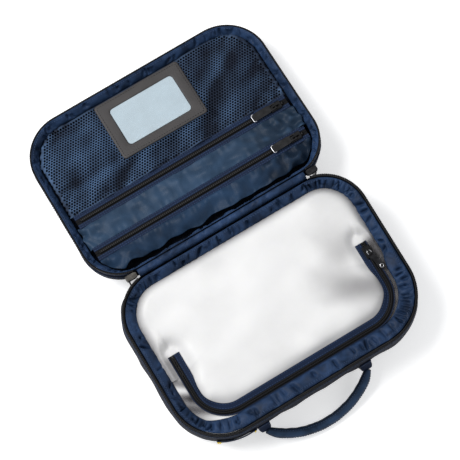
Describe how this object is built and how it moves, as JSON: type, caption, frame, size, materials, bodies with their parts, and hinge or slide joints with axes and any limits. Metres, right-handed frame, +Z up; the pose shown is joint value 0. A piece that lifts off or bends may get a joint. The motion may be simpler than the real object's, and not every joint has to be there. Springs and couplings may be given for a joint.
{
  "type": "travel pill organizer",
  "caption": "Soft navy zip case lying open: deep base with a clear zipped pouch and carrying handle, shallow lid with mesh and zipped pockets and a card window.",
  "frame": {"origin": "centre of the base's flat underside, which rests on the table", "axes": "+X along the hinge towards the zip sliders' parked end, +Y from the base towards the opened lid, +Z up"},
  "size_m": [0.275, 0.4062, 0.0522],
  "materials": {
    "outer_fabric": "matt navy woven polyester with a light foam core",
    "lining_fabric": "thin navy lining with a soft satin sheen, puckered along its seams",
    "zip_tape": "matt navy woven zip tape with stitch lines",
    "zip_coil": "black nylon coil",
    "mesh_fabric": "open navy polyester mesh with small round holes",
    "clear_film": "soft clear film, slightly milky, with broad highlights",
    "leatherette": "dark grey-brown leatherette with a stitched edge",
    "window_film": "clear stiff film",
    "window_backing": "pale blue-grey backing sheet",
    "black_metal": "black painted zinc with worn edges",
    "grey_metal": "gunmetal grey plating",
    "yellow_thread": "yellow polyester thread"
  },
  "bodies": {
    "base": {"base_bottom": "outer_fabric", "base_wall": "outer_fabric", "base_zip_tape": "zip_tape", "base_zip_coil": "zip_coil", "base_lining": "lining_fabric", "hinge_strip_base": "zip_tape", "front_label": "zip_tape", "label_bartack_left": "yellow_thread", "label_bartack_right": "yellow_thread", "handle_tab_left": "outer_fabric", "handle_tab_right": "outer_fabric", "pouch_body": "clear_film", "pouch_top": "clear_film", "pouch_tape_outer": "zip_tape", "pouch_coil_outer": "zip_coil"},
    "lid": {"lid_wall": "outer_fabric", "lid_back": "outer_fabric", "lid_back_lining": "lining_fabric", "lid_lining": "lining_fabric", "lid_zip_tape": "zip_tape", "lid_zip_coil": "zip_coil", "hinge_strip_lid": "zip_tape", "lower_panel": "lining_fabric", "lower_zip_tape_near": "zip_tape", "lower_zip_tape_far": "zip_tape", "lower_zip_coil": "zip_coil", "pocket_band": "lining_fabric", "upper_zip_tape_near": "zip_tape", "upper_zip_tape_far": "zip_tape", "upper_zip_coil": "zip_coil", "mesh_pocket": "mesh_fabric", "id_frame": "leatherette", "id_backing": "window_backing", "id_window": "window_film"},
    "pouch_flap": {"pouch_flap": "clear_film", "pouch_tape_inner": "zip_tape", "pouch_coil_inner": "zip_coil"},
    "handle": {"handle_grip": "outer_fabric"},
    "upper_slider": {"upper_zip_slider": "black_metal"},
    "upper_pull": {"upper_zip_pull": "black_metal"},
    "lower_slider": {"lower_zip_slider": "black_metal"},
    "lower_pull": {"lower_zip_pull": "black_metal"},
    "pouch_slider": {"pouch_slider": "black_metal"},
    "pouch_pull": {"pouch_pull": "grey_metal"},
    "left_slider": {"main_slider_left": "grey_metal"},
    "left_pull": {"main_pull_left": "grey_metal"},
    "right_slider": {"main_slider_right": "grey_metal"},
    "right_pull": {"main_pull_right": "grey_metal"}
  },
  "joints": [
    {"name": "lid_hinge", "type": "hinge", "parent": "base", "child": "lid", "pos_m": [0, 0.094, 0.0524], "axis": [1, 0, 0], "range_deg": [0, 189.07]},
    {"name": "flap_lift", "type": "hinge", "parent": "base", "child": "pouch_flap", "pos_m": [0, -0.0145, 0.051], "axis": [1, 0, 0], "range_deg": [-110, 0]},
    {"name": "handle_swing", "type": "hinge", "parent": "base", "child": "handle", "pos_m": [-0.007, -0.1002, 0.02], "axis": [1, 0, 0], "range_deg": [-123.75, 0]},
    {"name": "upper_slider_run", "type": "slide", "parent": "lid", "child": "upper_slider", "axis": [1, 0, 0], "range_m": [-0.195, 0]},
    {"name": "upper_pull_lift", "type": "hinge", "parent": "upper_slider", "child": "upper_pull", "pos_m": [0.108, 0.17116, 0.03775], "axis": [0, -0.9875, 0.1577], "range_deg": [-160, 0]},
    {"name": "lower_slider_run", "type": "slide", "parent": "lid", "child": "lower_slider", "axis": [1, 0, 0], "range_m": [-0.195, 0]},
    {"name": "lower_pull_lift", "type": "hinge", "parent": "lower_slider", "child": "lower_pull", "pos_m": [0.108, 0.13314, 0.04382], "axis": [0, -0.9875, 0.1577], "range_deg": [-160, 0]},
    {"name": "pouch_slider_run", "type": "slide", "parent": "base", "child": "pouch_slider", "axis": [0, 1, 0], "range_m": [-0.026, 0]},
    {"name": "pouch_pull_lift", "type": "hinge", "parent": "pouch_slider", "child": "pouch_pull", "pos_m": [0.1085, -0.0032, 0.0492], "axis": [0.9744, 0.225, 0], "range_deg": [-120, 0]},
    {"name": "left_slider_turn", "type": "hinge", "parent": "base", "child": "left_slider", "pos_m": [-0.089, 0.045, 0.0488], "axis": [0, 0, 1], "range_deg": [0, 68]},
    {"name": "left_pull_swing", "type": "hinge", "parent": "left_slider", "child": "left_pull", "pos_m": [-0.1072, 0.0934, 0.0442], "axis": [0, 1, 0], "range_deg": [0, 100]},
    {"name": "right_slider_turn", "type": "hinge", "parent": "base", "child": "right_slider", "pos_m": [0.089, 0.045, 0.0488], "axis": [0, 0, -1], "range_deg": [0, 68]},
    {"name": "right_pull_swing", "type": "hinge", "parent": "right_slider", "child": "right_pull", "pos_m": [0.1072, 0.0934, 0.0442], "axis": [0, -1, 0], "range_deg": [0, 100]}
  ]
}
